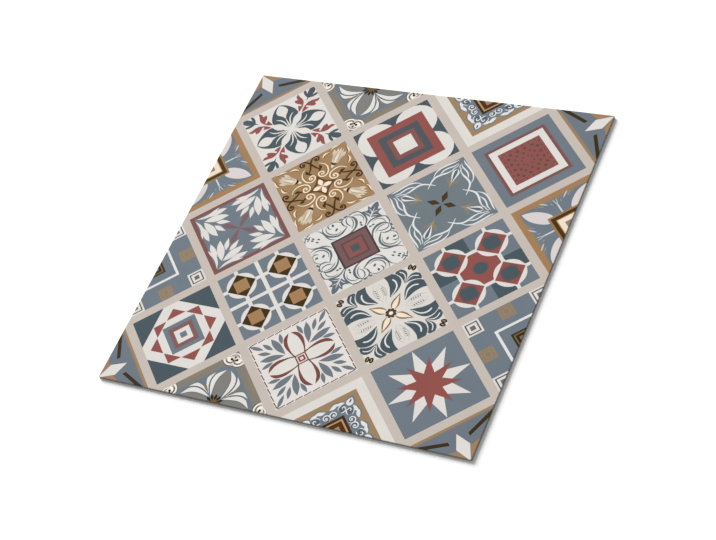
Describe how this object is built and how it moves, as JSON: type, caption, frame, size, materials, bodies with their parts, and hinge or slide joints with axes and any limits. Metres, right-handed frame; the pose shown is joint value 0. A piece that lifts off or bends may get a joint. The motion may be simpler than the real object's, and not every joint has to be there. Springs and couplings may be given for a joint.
{
  "type": "self-adhesive wall tile",
  "caption": "Flat square self-adhesive vinyl wall tile with a printed patchwork of traditional ornamental diamonds; sticks to a wall by its back and butts edge to edge.",
  "frame": {"origin": "middle of the adhesive back face, which lies on the floor", "axes": "+Z out of the printed face, +X and +Y along the sides of the square"},
  "size_m": [0.3, 0.3, 0.002],
  "materials": {
    "printed_vinyl": "matte"
  },
  "bodies": {
    "root": {"wall_tile": "printed_vinyl"}
  },
  "joints": []
}
